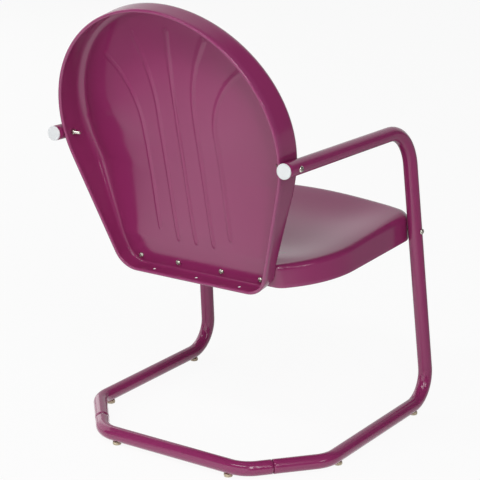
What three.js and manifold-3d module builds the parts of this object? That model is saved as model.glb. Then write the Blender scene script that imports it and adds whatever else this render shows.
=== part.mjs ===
// A retro metal lawn chair on a sprung tube frame, in millimetres, +Z up.
// The sitter faces -Y, so the sitter's right hand is towards -X.
// Two bent side tubes and a rear cross tube carry a pressed seat pan and a fan-ribbed back shell.

import * as THREE from "three";
import { mergeVertices, toCreasedNormals } from "three/addons/utils/BufferGeometryUtils.js";
import Module from "manifold-3d";

const wasm = await Module();
wasm.setup();

// Clearances, and how far a cutter runs past what it cuts
const contactGap = 0.3;
const overrun = 2;

// Side tube: stock
const tubeDiameter = 28;
const tubeWall = 1.5;

// Side tube: where the straight runs of the centre line would meet
const armEndHeight = 599;
const armEndRearward = 232.5;
const armBendHeight = 585.2;
const armBendForward = 211;
const armBendHalfSpan = 247;
const footBendForward = 273.1;
const footHalfSpan = 270.9;
const runnerBendRearward = 106.2;
const crossBendRearward = 228.8;
const crossBendHalfSpan = 163.3;

// Side tube: radii of the bends, on the centre line
const armBendRadius = 86;
const footBendRadius = 58;
const runnerBendRadius = 60;
const crossBendRadius = 60;

// Rear cross tube: its necked ends push into the side tubes at a seam in each slanted corner
const seamShare = 0.655;
const seamGap = 0.6;
const neckLength = 38;
const neckWall = 1.2;

// Glides under the floor tubes
const glideHeight = 6.5;
const glideDiameter = 17;
const glideStemDiameter = 6;
const glideStemReach = 8;
const frontGlideForward = 216;
const runnerGlideRearward = 72;
const rearGlideHalfSpan = 130.5;

// Plugs in the rear ends of the arms
const plugCapLength = 5;
const plugCapRounding = 1.6;
const plugCapProud = 0.6;
const plugStemLength = 22;

// Pressed sheet of the seat and the back, and the edge rolled inwards round it
const sheetThickness = 1.5;
const rolledEdgeDiameter = 6.5;

// Back shell: where its rear rim stands and how far it leans back
const backRimRearward = 162.1;
const backRimHeight = 332.8;
const backLeanDegrees = 13.1;

// Back shell: outline of the rear rim
const backTopRadius = 242.4;
const backTopCentreUp = 298.7;
const backFootHalfWidth = 173;
const backFootRadius = 47;

// Back shell: depth of the panel in front of the rear rim, and the heights where it changes
const backFootDepth = 40;
const backLumbarDepth = 37.5;
const backUpperDepth = 47;
const backSideDepth = 66.5;
const backCrownDepth = 50.5;
const backCoveStartUp = 22;
const backCoveUp = 75;
const backFlatUp = 58;
const backSideFullUp = 200;
const backUpperFullUp = 480;
const dishTurnStartUp = 250;
const dishTurnFullUp = 340;
const lowerDishPower = 2;
const upperDishPower = 4;

// Back shell: rounding between panel and flange, and how far the flange drops towards the panel
const backFoldRadius = 13;
const backFootFoldRadius = 7;
const backFlangeDrop = 4.5;

// Fan ribs, raised on the rear face of the back
const ribHalfWidth = 5.2;
const ribHeight = 2.4;
const innerRibOffset = 40;
const outerRibOffset = 80;
const ribFootUp = 63.4;
const outerRibFootUp = 82;
const centreRibTopUp = 483.3;
const innerRibBendUp = 325.3;
const innerRibBendRadius = 300;
const innerRibFanDegrees = 29.3;
const outerRibBendUp = 290.3;
const outerRibBendRadius = 160;
const outerRibFanDegrees = 55.6;

// Drain holes in the bottom flange of the back
const drainHoleDiameter = 6;
const drainHoleSpacing = 97.8;
const drainHoleDepth = 21;

// Seat pan: outline of its lower rim, seen from above
const seatFrontForward = 292;
const seatFrontBowRadius = 760;
const seatFrontCornerRadius = 16;
const seatShoulderForward = 30;
const seatShoulderRadius = 205;
const seatRearCornerRadius = 30;

// Seat pan: its lower rim slopes up to the front, and the skirt grows deeper towards it
const seatRimHeight = 341;
const seatRimRise = 14;
const seatRearSkirt = 46;
const seatFrontSkirt = 60;
const seatDish = 17;
const seatFrontCrown = 4;
const seatDishShare = 0.9;
const seatSideFoldRadius = 11;
const seatFrontFoldRadius = 22;

// Bolts and nuts
const boltDiameter = 6;
const boltHeadDiameter = 10.5;
const boltHeadHeight = 3.3;
const boltSocketAcrossFlats = 4;
const boltSocketDepth = 2;
const nutAcrossFlats = 10;
const nutThickness = 5;
const armBoltRearward = 201;
const armBoltLength = 50;
const seatBoltHeight = 377;
const seatBoltLength = 42;
const backBoltUp = 14.1;
const backBoltInnerOffset = 49.8;
const backBoltOuterOffset = 137.3;
const backBoltLength = 16;

// Facets
const tubeSides = 16;
const boreSides = 10;
const bendStepDegrees = 15;
const roundSides = 10;
const plugSides = 14;
const creaseDegrees = 35;
const backPanelShares = [0.3, 0.56, 0.78, 0.91];
const seatPanelShares = [0.36, 0.66, 0.87];
const wallRunShares = [0.25, 0.5, 0.75];
const backSideRunShares = [0.08, 0.3, 0.53, 0.77];
const seatSideRunShares = [0.2, 0.4, 0.6, 0.8];
const backTopSteps = 14;
const backCornerSteps = 4;
const seatBowSteps = 6;
const seatCornerSteps = 4;
const seatShoulderSteps = 5;
const foldSteps = 3;
const rolledEdgeSteps = 4;
const ribSectionSteps = 4;
const ribEndShares = [0, 0.3, 1];
const ribRunShares = [0.35, 0.7];
const ribFanShares = [0.2, 0.45, 0.7];

// Finishes
const plumCoat = new THREE.MeshStandardMaterial({ color: 0x8c3a69, roughness: 0.32, metalness: 0.0 });
const whitePlastic = new THREE.MeshStandardMaterial({ color: 0xe9eceb, roughness: 0.45, metalness: 0.0 });
const brightSteel = new THREE.MeshStandardMaterial({ color: 0xc9c8c0, roughness: 0.25, metalness: 1.0 });
const paleBrass = new THREE.MeshStandardMaterial({ color: 0xb9ab7f, roughness: 0.4, metalness: 0.3 });

// Sizes that follow from the ones above
const tubeRadius = tubeDiameter / 2;
const boreRadius = tubeRadius - tubeWall;
const floorTubeHeight = glideHeight + tubeRadius;
const neckRadius = boreRadius * Math.cos(Math.PI / boreSides) - contactGap;
const rolledEdgeRadius = rolledEdgeDiameter / 2;
const backLean = THREE.MathUtils.degToRad(backLeanDegrees);
const boltHoleRadius = boltDiameter / 2 + contactGap;
const boltHeadRadius = boltHeadDiameter / 2;
const hexSides = 6;
const cornersOverFlats = 1 / Math.sqrt(3);
const nutRadius = nutAcrossFlats * cornersOverFlats;
const socketRadius = boltSocketAcrossFlats * cornersOverFlats;

const { clamp, lerp, smoothstep } = THREE.MathUtils;

// The arms splay towards the rear so that each just clears the front of the back's flange at its own height
const flangeDepth = backSideDepth - backFoldRadius;
const flangeFrontAt = (height) => {
  const up = (height - backRimHeight - flangeDepth * Math.sin(backLean)) / Math.cos(backLean);
  return { up, rearward: backRimRearward + up * Math.sin(backLean) - flangeDepth * Math.cos(backLean) };
};
const armLength = armEndRearward + armBendForward;
const armShare = (armEndRearward - flangeFrontAt(armEndHeight).rearward) / armLength;
const flangeFront = flangeFrontAt(lerp(armEndHeight, armBendHeight, armShare));
const armBelowWidest = Math.max(backTopCentreUp - backFlangeDrop - flangeFront.up, 0);
const armFlangeHalfSpan = Math.sqrt((backTopRadius + contactGap + tubeRadius) ** 2 - armBelowWidest ** 2);
const armSplay = (armFlangeHalfSpan - armBendHalfSpan) / (flangeFront.rearward + armBendForward);
const armEndHalfSpan = armBendHalfSpan + armSplay * armLength;

// The front legs spread towards the floor, and the seat fits between them at the height of its side folds
const legSpread = (footHalfSpan - armBendHalfSpan) / (armBendHeight - floorTubeHeight);
const seatFoldHeight = seatRimHeight + seatRimRise + seatFrontSkirt - seatSideFoldRadius;
const legHalfSpan = armBendHalfSpan + legSpread * (armBendHeight - seatFoldHeight);
const seatHalfWidth = legHalfSpan - tubeRadius - contactGap;

// Solids and meshes

function solidOf(geometry) {
  const bare = geometry.clone();
  bare.deleteAttribute("normal");
  bare.deleteAttribute("uv");
  const merged = mergeVertices(bare);
  const mesh = new wasm.Mesh({
    numProp: 3,
    vertProperties: new Float32Array(merged.attributes.position.array),
    triVerts: new Uint32Array(merged.index.array),
  });
  return new wasm.Manifold(mesh);
}

function geometryOf(solid) {
  const mesh = solid.getMesh();
  const geometry = new THREE.BufferGeometry();
  geometry.setAttribute("position", new THREE.BufferAttribute(mesh.vertProperties, 3));
  geometry.setIndex(new THREE.BufferAttribute(mesh.triVerts, 1));
  return toCreasedNormals(geometry, THREE.MathUtils.degToRad(creaseDegrees));
}

function named(name, solid, material) {
  const mesh = new THREE.Mesh(geometryOf(solid), material);
  mesh.name = name;
  return mesh;
}

// A closed skin through rings of equally many points, closed at each end by one point
function skin(firstPole, rings, lastPole) {
  const count = rings[0].length;
  const points = [firstPole, ...rings.flat(), lastPole];
  const last = points.length - 1;
  const index = [];
  for (let i = 0; i < count; i++) {
    const j = (i + 1) % count;
    index.push(0, 1 + j, 1 + i);
    for (let ring = 0; ring < rings.length - 1; ring++) {
      const a = 1 + ring * count;
      const b = a + count;
      index.push(a + i, a + j, b + i, a + j, b + j, b + i);
    }
    const end = 1 + (rings.length - 1) * count;
    index.push(last, end + i, end + j);
  }
  const geometry = new THREE.BufferGeometry().setFromPoints(points);
  geometry.setIndex(index);
  return facingOut(geometry);
}

// Turns the faces round if they enclose a negative volume
function facingOut(geometry) {
  const place = geometry.attributes.position;
  const index = geometry.index.array;
  const [a, b, c] = [new THREE.Vector3(), new THREE.Vector3(), new THREE.Vector3()];
  let volume = 0;
  for (let i = 0; i < index.length; i += 3) {
    a.fromBufferAttribute(place, index[i]);
    b.fromBufferAttribute(place, index[i + 1]);
    c.fromBufferAttribute(place, index[i + 2]);
    volume += a.dot(b.cross(c));
  }
  if (volume < 0) {
    geometry.setIndex(Array.from(index).reverse());
  }
  return geometry;
}

// The turn that brings +Y, the axis of three's round shapes, to a direction
function turnFromY(direction) {
  return new THREE.Quaternion().setFromUnitVectors(new THREE.Vector3(0, 1, 0), direction);
}

// A round bar from one point to another, used for shanks, stems and hole cutters
function bar(from, to, radius, sides = roundSides) {
  const along = new THREE.Vector3().subVectors(to, from);
  const geometry = new THREE.CylinderGeometry(radius, radius, along.length(), sides);
  geometry.applyQuaternion(turnFromY(along.normalize()));
  geometry.translate(...new THREE.Vector3().addVectors(from, to).divideScalar(2).toArray());
  return solidOf(geometry);
}

// A solid of revolution whose axis starts at a point and runs in a direction
function turned(profile, from, direction, sides = roundSides) {
  const points = profile.map(([radius, along]) => new THREE.Vector2(radius, along));
  const geometry = new THREE.LatheGeometry(points, sides);
  geometry.applyQuaternion(turnFromY(direction));
  geometry.translate(from.x, from.y, from.z);
  return solidOf(facingOut(mergeVertices(geometry)));
}

// Tubes

// The centre line of a bent tube: straight runs joined by arcs, with stations only where it bends
class BentTubePath extends THREE.Curve {
  constructor(corners, radii) {
    super();
    this.stations = [];
    const last = corners.length - 1;
    for (let i = 0; i <= last; i++) {
      const here = corners[i];
      if (i === 0 || i === last) {
        const [from, to] = i === 0 ? [here, corners[1]] : [corners[last - 1], here];
        const way = new THREE.Vector3().subVectors(to, from).normalize();
        this.stations.push({ place: here.clone(), way });
        continue;
      }
      const before = new THREE.Vector3().subVectors(here, corners[i - 1]).normalize();
      const after = new THREE.Vector3().subVectors(corners[i + 1], here).normalize();
      this.addArc(here, before, after, radii[i - 1]);
    }
  }

  addArc(corner, before, after, radius) {
    const turn = before.angleTo(after);
    const axis = new THREE.Vector3().crossVectors(before, after).normalize();
    const setback = radius * Math.tan(turn / 2);
    const start = corner.clone().addScaledVector(before, -setback);
    const inward = new THREE.Vector3().crossVectors(axis, before);
    const centre = start.clone().addScaledVector(inward, radius);
    const steps = Math.ceil(THREE.MathUtils.radToDeg(turn) / bendStepDegrees);
    for (let step = 0; step <= steps; step++) {
      const angle = (turn * step) / steps;
      const place = start.clone().sub(centre).applyAxisAngle(axis, angle).add(centre);
      this.stations.push({ place, way: before.clone().applyAxisAngle(axis, angle) });
    }
  }

  between(t, key) {
    const place = t * (this.stations.length - 1);
    const i = Math.min(Math.floor(place), this.stations.length - 2);
    return this.stations[i][key].clone().lerp(this.stations[i + 1][key], place - i);
  }

  getPoint(t) {
    return this.between(t, "place");
  }

  getPointAt(t) {
    return this.between(t, "place");
  }

  getTangentAt(t) {
    return this.between(t, "way").normalize();
  }
}

function roundSection(radius, sides) {
  const section = new THREE.Shape();
  for (let i = 0; i < sides; i++) {
    const angle = (2 * Math.PI * i) / sides;
    const [x, y] = [radius * Math.cos(angle), radius * Math.sin(angle)];
    if (i === 0) {
      section.moveTo(x, y);
    } else {
      section.lineTo(x, y);
    }
  }
  section.closePath();
  return section;
}

function rodAlong(path, radius, sides) {
  const steps = path.stations.length - 1;
  const section = roundSection(radius, sides);
  return solidOf(new THREE.ExtrudeGeometry(section, { steps, extrudePath: path, bevelEnabled: false }));
}

// Corner points of the frame's centre line; side is -1 for the sitter's right and +1 for the left
function frameCorners(side) {
  return {
    armEnd: new THREE.Vector3(side * armEndHalfSpan, armEndRearward, armEndHeight),
    armBend: new THREE.Vector3(side * armBendHalfSpan, -armBendForward, armBendHeight),
    footBend: new THREE.Vector3(side * footHalfSpan, -footBendForward, floorTubeHeight),
    runnerBend: new THREE.Vector3(side * footHalfSpan, runnerBendRearward, floorTubeHeight),
    crossBend: new THREE.Vector3(side * crossBendHalfSpan, crossBendRearward, floorTubeHeight),
  };
}

function seamOf(side) {
  const { runnerBend, crossBend } = frameCorners(side);
  const way = new THREE.Vector3().subVectors(crossBend, runnerBend).normalize();
  return { place: new THREE.Vector3().lerpVectors(runnerBend, crossBend, seamShare), way };
}

// Centre of the side tube at a share of the run between two of its corners
function pointOnRun(from, to, axis, value) {
  return new THREE.Vector3().lerpVectors(from, to, (value - from[axis]) / (to[axis] - from[axis]));
}

function sideTube(side) {
  const { armEnd, armBend, footBend, runnerBend } = frameCorners(side);
  const seam = seamOf(side);
  const corners = [armEnd, armBend, footBend, runnerBend, seam.place];
  const radii = [armBendRadius, footBendRadius, runnerBendRadius];
  const armWay = new THREE.Vector3().subVectors(armBend, armEnd).normalize();
  const boreCorners = [...corners];
  boreCorners[0] = armEnd.clone().addScaledVector(armWay, -overrun);
  boreCorners[boreCorners.length - 1] = seam.place.clone().addScaledVector(seam.way, overrun);
  let tube = rodAlong(new BentTubePath(corners, radii), tubeRadius, tubeSides);
  tube = tube.subtract(rodAlong(new BentTubePath(boreCorners, radii), boreRadius, boreSides));
  for (const bolt of [armBolt(side), seatBolt(side)]) {
    tube = tube.subtract(bolt.hole());
  }
  for (const place of [frontGlidePlace(side), runnerGlidePlace(side)]) {
    tube = tube.subtract(glideHole(place));
  }
  return tube;
}

function rearCrossTube() {
  const right = seamOf(-1);
  const left = seamOf(1);
  const corners = [right.place, frameCorners(-1).crossBend, frameCorners(1).crossBend, left.place];
  const ends = corners.slice();
  ends[0] = right.place.clone().addScaledVector(right.way, seamGap);
  ends[3] = left.place.clone().addScaledVector(left.way, seamGap);
  const radii = [crossBendRadius, crossBendRadius];
  let tube = rodAlong(new BentTubePath(ends, radii), tubeRadius, tubeSides);
  const boreEnds = corners.slice();
  boreEnds[0] = right.place.clone().addScaledVector(right.way, seamGap + tubeWall);
  boreEnds[3] = left.place.clone().addScaledVector(left.way, seamGap + tubeWall);
  let bore = rodAlong(new BentTubePath(boreEnds, radii), boreRadius, boreSides);
  for (const seam of [right, left]) {
    const root = seam.place.clone().addScaledVector(seam.way, seamGap + tubeWall);
    const tip = seam.place.clone().addScaledVector(seam.way, -neckLength);
    const past = seam.place.clone().addScaledVector(seam.way, -neckLength - overrun);
    const inside = root.clone().addScaledVector(seam.way, overrun);
    tube = tube.add(bar(root, tip, neckRadius, tubeSides));
    bore = bore.add(bar(inside, past, neckRadius - neckWall, boreSides));
  }
  tube = tube.subtract(bore);
  for (const side of [-1, 1]) {
    tube = tube.subtract(glideHole(rearGlidePlace(side)));
  }
  return tube;
}

// Glides

const frontGlidePlace = (side) => new THREE.Vector3(side * footHalfSpan, -frontGlideForward, 0);
const runnerGlidePlace = (side) => new THREE.Vector3(side * footHalfSpan, runnerGlideRearward, 0);
const rearGlidePlace = (side) => new THREE.Vector3(side * rearGlideHalfSpan, crossBendRearward, 0);

function glideHole(place) {
  const top = place.clone().setZ(floorTubeHeight);
  return bar(place, top, glideStemDiameter / 2 + contactGap);
}

function glide(place) {
  const headTop = glideHeight - contactGap;
  const radius = glideDiameter / 2;
  const chamfer = headTop / 4;
  const stem = glideStemDiameter / 2;
  const profile = [
    [0, 0],
    [radius - chamfer, 0],
    [radius, chamfer],
    [radius, headTop / 2],
    [radius - chamfer, headTop],
    [stem, headTop],
    [stem, headTop + glideStemReach],
    [0, headTop + glideStemReach],
  ];
  return turned(profile, place, new THREE.Vector3(0, 0, 1));
}

// Plugs in the arm ends

function armPlug(side) {
  const { armEnd, armBend } = frameCorners(side);
  const out = new THREE.Vector3().subVectors(armEnd, armBend).normalize();
  const stem = neckRadius;
  const rim = tubeRadius + plugCapProud;
  const profile = [
    [0, -plugStemLength],
    [stem - tubeWall, -plugStemLength],
    [stem, -plugStemLength + tubeWall],
    [stem, contactGap],
    [rim - plugCapRounding / 2, contactGap],
    [rim, contactGap + plugCapRounding / 2],
    [rim, plugCapLength - plugCapRounding],
    [rim - plugCapRounding / 2, plugCapLength - plugCapRounding / 4],
    [rim - plugCapRounding, plugCapLength],
    [0, plugCapLength],
  ];
  return turned(profile, armEnd, out, plugSides);
}

// Pressed sheet

// One point of an outline on an arc, with the direction that faces out of it there
function onArc(arc, angle) {
  const [nx, ny] = [Math.cos(angle), Math.sin(angle)];
  return { x: arc.x + arc.radius * nx, y: arc.y + arc.radius * ny, nx, ny };
}

// A closed outline, mirrored across x = 0, from arcs of its +x half joined by straight runs.
// It starts and ends on x = 0, at start and end where these are given.
function mirroredOutline({ start, arcs, end }) {
  const half = start ? [start] : [];
  const addRun = (to, shares = []) => {
    const from = half[half.length - 1];
    for (const share of shares) {
      half.push({ x: lerp(from.x, to.x, share), y: lerp(from.y, to.y, share), nx: to.nx, ny: to.ny });
    }
  };
  for (const arc of arcs) {
    addRun(onArc(arc, arc.from), arc.runShares);
    for (let step = 0; step <= arc.steps; step++) {
      half.push(onArc(arc, lerp(arc.from, arc.to, step / arc.steps)));
    }
  }
  if (end) {
    addRun(end, arcs[arcs.length - 1].endShares);
    half.push(end);
  }
  const mirrored = half.slice(1, -1).reverse();
  return [...half, ...mirrored.map((p) => ({ ...p, x: -p.x, nx: -p.nx }))];
}

// A pressed tray, in the frame of its rim: its panel lies at depthAt above the rim, a fold of edgeRadiusAt
// turns into the flange, and the flange ends in an edge rolled inwards. driftAt shifts the flange sideways.
function pressedTray({ outline, centre, panelShares, depthAt, edgeRadiusAt, driftAt }) {
  const place = (p, inset, depth) => {
    const drift = driftAt(p, depth);
    return new THREE.Vector3(p.x - p.nx * inset + drift.x, p.y - p.ny * inset + drift.y, depth);
  };
  const edges = outline.map((p) => {
    const radius = edgeRadiusAt(p);
    const depth = depthAt(p.x - p.nx * radius, p.y - p.ny * radius);
    return { p, radius, depth };
  });
  const fold = (thickness, share) => {
    const angle = (share * Math.PI) / 2;
    return edges.map(({ p, radius, depth }) => {
      const bend = radius - thickness;
      const inset = thickness + bend * (1 - Math.sin(angle));
      return place(p, inset, depth - thickness - bend * (1 - Math.cos(angle)));
    });
  };
  const panel = (thickness, share) => edges.map(({ p, radius, depth }) => {
    const edge = place(p, radius, depth);
    const x = lerp(centre.x, edge.x, share);
    const y = lerp(centre.y, edge.y, share);
    return new THREE.Vector3(x, y, depthAt(x, y) - thickness);
  });
  const rolledEnd = 2 * Math.PI - Math.acos(1 - sheetThickness / rolledEdgeRadius);
  const rolled = (share) => edges.map(({ p }) => {
    const angle = share * rolledEnd;
    const inset = rolledEdgeRadius * (1 - Math.cos(angle));
    return place(p, inset, rolledEdgeRadius * (1 - Math.sin(angle)));
  });
  const foldShares = Array.from({ length: foldSteps + 1 }, (_, i) => i / foldSteps);
  const rolledShares = Array.from({ length: rolledEdgeSteps + 1 }, (_, i) => i / rolledEdgeSteps);
  const rings = [
    ...panelShares.map((share) => panel(0, share)),
    ...foldShares.map((share) => fold(0, share)),
    ...rolledShares.map(rolled),
    ...foldShares.toReversed().map((share) => fold(sheetThickness, share)),
    ...panelShares.toReversed().map((share) => panel(sheetThickness, share)),
  ];
  const middle = depthAt(centre.x, centre.y);
  const outer = new THREE.Vector3(centre.x, centre.y, middle);
  const inner = new THREE.Vector3(centre.x, centre.y, middle - sheetThickness);
  return solidOf(skin(outer, rings, inner));
}

// Bolts and nuts

// A round-head bolt whose head rests at a place and whose shank runs along a direction
function boltAt(place, way, length) {
  const at = (along) => place.clone().addScaledVector(way, along);
  const shank = boltDiameter / 2;
  const chamfer = shank / 4;
  const profile = [
    [0, -length],
    [shank - chamfer, -length],
    [shank, chamfer - length],
    [shank, 0],
    [boltHeadRadius, 0],
    [boltHeadRadius, boltHeadHeight / 4],
    [boltHeadRadius * Math.cos(Math.PI / 6), (3 * boltHeadHeight) / 4],
    [boltHeadRadius / 2, boltHeadHeight],
    [0, boltHeadHeight],
  ];
  const socketFloor = boltSocketDepth - boltHeadHeight;
  const socket = bar(at(-boltHeadHeight - overrun), at(socketFloor), socketRadius, hexSides);
  return {
    place,
    way,
    hole: () => bar(at(-overrun), at(length + overrun), boltHoleRadius),
    solid: () => turned(profile, place, way.clone().negate()).subtract(socket),
  };
}

// A hexagon nut that starts at a place and runs along the bolt's direction
function nutAt(place, way) {
  const at = (along) => place.clone().addScaledVector(way, along);
  const body = bar(at(0), at(nutThickness), nutRadius, hexSides);
  return body.subtract(bar(at(-overrun), at(nutThickness + overrun), boltHoleRadius));
}

// Bolt through the arm's end into the flange of the back
function armBolt(side) {
  const { armEnd, armBend } = frameCorners(side);
  const centre = pointOnRun(armEnd, armBend, "y", armBoltRearward);
  const reach = Math.abs(centre.x) + tubeRadius + contactGap + boltHeadRadius * armSplay;
  return boltAt(centre.clone().setX(side * reach), new THREE.Vector3(-side, 0, 0), armBoltLength);
}

function armNut(side) {
  const { place, way } = armBolt(side);
  const inBack = place.clone().applyMatrix4(backPlacement.clone().invert());
  const flange = backHalfWidth(inBack.y + flangeDropAt(inBack.z) - nutRadius) - sheetThickness;
  return nutAt(place.clone().setX(side * (flange - 2 * contactGap)), way);
}

// Bolt through the front leg into the skirt of the seat
function seatBolt(side) {
  const { armBend, footBend } = frameCorners(side);
  const centre = pointOnRun(armBend, footBend, "z", seatBoltHeight);
  const reach = Math.abs(centre.x) + tubeRadius + contactGap + boltHeadRadius * legSpread;
  return boltAt(centre.clone().setX(side * reach), new THREE.Vector3(-side, 0, 0), seatBoltLength);
}

function seatNut(side) {
  const { place, way } = seatBolt(side);
  const inSeat = place.clone().applyMatrix4(seatPlacement.clone().invert());
  const skirt = seatSideAt(inSeat.y - nutRadius) - sheetThickness;
  return nutAt(place.clone().setX(side * (skirt - contactGap)), way);
}

// The row of bolts through the foot of the back into the rear wall of the seat
const backBoltOffsets = [
  -backBoltOuterOffset,
  -backBoltInnerOffset,
  backBoltInnerOffset,
  backBoltOuterOffset,
];
const forwards = new THREE.Vector3(0, -Math.cos(backLean), Math.sin(backLean));

function backBolts() {
  return backBoltOffsets.map((x) => {
    const depth = backDepth(x, backBoltUp) - sheetThickness - 2 * contactGap;
    const place = new THREE.Vector3(x, backBoltUp, depth).applyMatrix4(backPlacement);
    return boltAt(place, forwards, backBoltLength);
  });
}

function backNut(x) {
  const depth = backFootDepth + sheetThickness + 2 * contactGap;
  return nutAt(new THREE.Vector3(x, backBoltUp, depth).applyMatrix4(backPlacement), forwards);
}

// Back shell. In its own frame x is across, y runs up the rear rim and z points forwards from the rim.

const backPlacement = new THREE.Matrix4()
  .makeBasis(
    new THREE.Vector3(1, 0, 0),
    new THREE.Vector3(0, Math.sin(backLean), Math.cos(backLean)),
    new THREE.Vector3(0, -Math.cos(backLean), Math.sin(backLean)),
  )
  .setPosition(0, backRimRearward, backRimHeight);

// Half the width of the back's rim at a height: a straight taper under a round top
function backSlope() {
  const rise = backTopCentreUp - backFootRadius;
  const reach = backFootHalfWidth - backFootRadius;
  const length = Math.hypot(rise, reach);
  return Math.atan2(-rise, reach) + Math.acos((backTopRadius - backFootRadius) / length);
}

function backHalfWidth(y) {
  const angle = backSlope();
  const tangentUp = backTopCentreUp + backTopRadius * Math.sin(angle);
  if (y > tangentUp) {
    return Math.sqrt(Math.max(backTopRadius ** 2 - (y - backTopCentreUp) ** 2, 0));
  }
  return backTopRadius * Math.cos(angle) + (tangentUp - y) * Math.tan(angle);
}

// How far the flange has dropped at a depth in front of the rim
const flangeDropAt = (depth) => (backFlangeDrop * depth) / backSideDepth;

// Depth of the back's front face: a shallow dish, flat across its foot, with a cove above the bolts
function backDepth(x, y) {
  const above = Math.max(y - backTopCentreUp, 0);
  const rimShare = above > 0 ? Math.hypot(x, above) / backTopRadius : Math.abs(x) / backHalfWidth(y);
  const cove = smoothstep(y, backCoveStartUp, backCoveUp);
  const upper = clamp((y - backCoveUp) / (backUpperFullUp - backCoveUp), 0, 1);
  const middle = lerp(lerp(backFootDepth, backLumbarDepth, cove), backUpperDepth, upper);
  const sideShare = clamp((y - backFlatUp) / (backSideFullUp - backFlatUp), 0, 1);
  const side = lerp(backFootDepth, backSideDepth, sideShare);
  const edge = lerp(side, backCrownDepth, (above / backTopRadius) ** 2);
  const power = lerp(lowerDishPower, upperDishPower, smoothstep(y, dishTurnStartUp, dishTurnFullUp));
  return middle + (edge - middle) * Math.min(rimShare, 1) ** power;
}

function backOutline() {
  const slope = backSlope();
  const start = { x: 0, y: 0, nx: 0, ny: -1 };
  const corner = {
    x: backFootHalfWidth - backFootRadius,
    y: backFootRadius,
    radius: backFootRadius,
    from: -Math.PI / 2,
    to: slope,
    steps: backCornerSteps,
    runShares: wallRunShares,
  };
  const top = {
    x: 0,
    y: backTopCentreUp,
    radius: backTopRadius,
    from: slope,
    to: Math.PI / 2,
    steps: backTopSteps,
    runShares: backSideRunShares,
  };
  return mirroredOutline({ start, arcs: [corner, top] });
}

// A rib's centre line on the panel: straight up from its foot, then an arc that fans outwards
function ribLine(offset, footUp, bendUp, bendRadius, fanDegrees) {
  const side = Math.sign(offset);
  const straight = new THREE.LineCurve(new THREE.Vector2(offset, footUp), new THREE.Vector2(offset, bendUp));
  const line = new THREE.CurvePath();
  line.add(straight);
  if (side !== 0) {
    const sweep = THREE.MathUtils.degToRad(fanDegrees);
    const centreX = offset + side * bendRadius;
    const [from, to] = side > 0 ? [Math.PI, Math.PI - sweep] : [0, sweep];
    line.add(new THREE.EllipseCurve(centreX, bendUp, bendRadius, bendRadius, from, to, side > 0));
  }
  return { line, straightLength: bendUp - footUp };
}

// A rounded bar along a rib's line: half an ellipse that rises from the panel towards the rear
function ribBar({ line, straightLength }, halfWidth, topBehind, baseBehind) {
  const length = line.getLength();
  const ends = ribEndShares.map((share) => (share * halfWidth) / length);
  const bend = straightLength / length;
  const stations = [...ends, ...ribRunShares.map((share) => share * bend)];
  if (bend < 1) {
    stations.push(bend, ...ribFanShares.map((share) => lerp(bend, 1, share)));
  }
  stations.push(...ends.toReversed().map((end) => 1 - end));
  const rings = [];
  for (const station of stations) {
    const here = line.getPointAt(station);
    const way = line.getTangentAt(station);
    const fromEnd = Math.min(station, 1 - station) * length;
    const roundness = Math.sqrt(1 - (1 - Math.min(fromEnd / halfWidth, 1)) ** 2);
    if (roundness === 0) {
      continue;
    }
    const ring = [];
    for (let step = 0; step <= ribSectionSteps; step++) {
      const angle = (Math.PI * step) / ribSectionSteps;
      const across = halfWidth * roundness * Math.cos(angle);
      const [x, y] = [here.x + way.y * across, here.y - way.x * across];
      const behind = lerp(baseBehind, topBehind, roundness * Math.sin(angle));
      ring.push(new THREE.Vector3(x, y, backDepth(x, y) - behind));
    }
    rings.push(ring);
  }
  const pole = (station) => {
    const { x, y } = line.getPointAt(station);
    return new THREE.Vector3(x, y, backDepth(x, y) - baseBehind);
  };
  return solidOf(skin(pole(0), rings, pole(1)));
}

function fanRibs() {
  const ribs = [ribLine(0, ribFootUp, centreRibTopUp)];
  for (const side of [-1, 1]) {
    const [inner, outer] = [side * innerRibOffset, side * outerRibOffset];
    ribs.push(ribLine(inner, ribFootUp, innerRibBendUp, innerRibBendRadius, innerRibFanDegrees));
    ribs.push(ribLine(outer, outerRibFootUp, outerRibBendUp, outerRibBendRadius, outerRibFanDegrees));
  }
  return ribs;
}

function backShell() {
  let shell = pressedTray({
    outline: backOutline(),
    centre: new THREE.Vector2(0, backTopCentreUp),
    panelShares: backPanelShares,
    depthAt: backDepth,
    edgeRadiusAt: (p) => lerp(backFootFoldRadius, backFoldRadius, smoothstep(p.y, 0, backSideFullUp)),
    driftAt: (p, depth) => ({ x: 0, y: -flangeDropAt(depth) }),
  });
  for (const rib of fanRibs()) {
    shell = shell.add(ribBar(rib, ribHalfWidth, sheetThickness + ribHeight, sheetThickness / 2));
    shell = shell.subtract(ribBar(rib, ribHalfWidth - sheetThickness, ribHeight, -overrun));
  }
  for (const x of [-drainHoleSpacing, 0, drainHoleSpacing]) {
    const below = new THREE.Vector3(x, -backFlangeDrop - overrun, drainHoleDepth);
    const above = new THREE.Vector3(x, sheetThickness + overrun, drainHoleDepth);
    shell = shell.subtract(bar(below, above, drainHoleDiameter / 2));
  }
  shell = shell.transform(backPlacement.elements);
  for (const bolt of backBolts()) {
    shell = shell.subtract(bolt.hole());
  }
  for (const side of [-1, 1]) {
    shell = shell.subtract(armBolt(side).hole());
  }
  return shell;
}

// Seat pan. In its own frame x is across, y runs to the rear and z points up from its lower rim.

// The rear wall leans with the back's foot and ends a contact gap in front of it
const backFootFace = new THREE.Vector3(0, 0, backFootDepth + contactGap).applyMatrix4(backPlacement);
const seatRearward = backFootFace.y + (seatRimHeight - backFootFace.z) * Math.tan(backLean);
const seatLength = seatRearward + seatFrontForward;
const seatPitch = Math.atan(seatRimRise / seatLength);
const seatPlacement = new THREE.Matrix4()
  .makeRotationX(-seatPitch)
  .setPosition(0, seatRearward, seatRimHeight);

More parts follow.
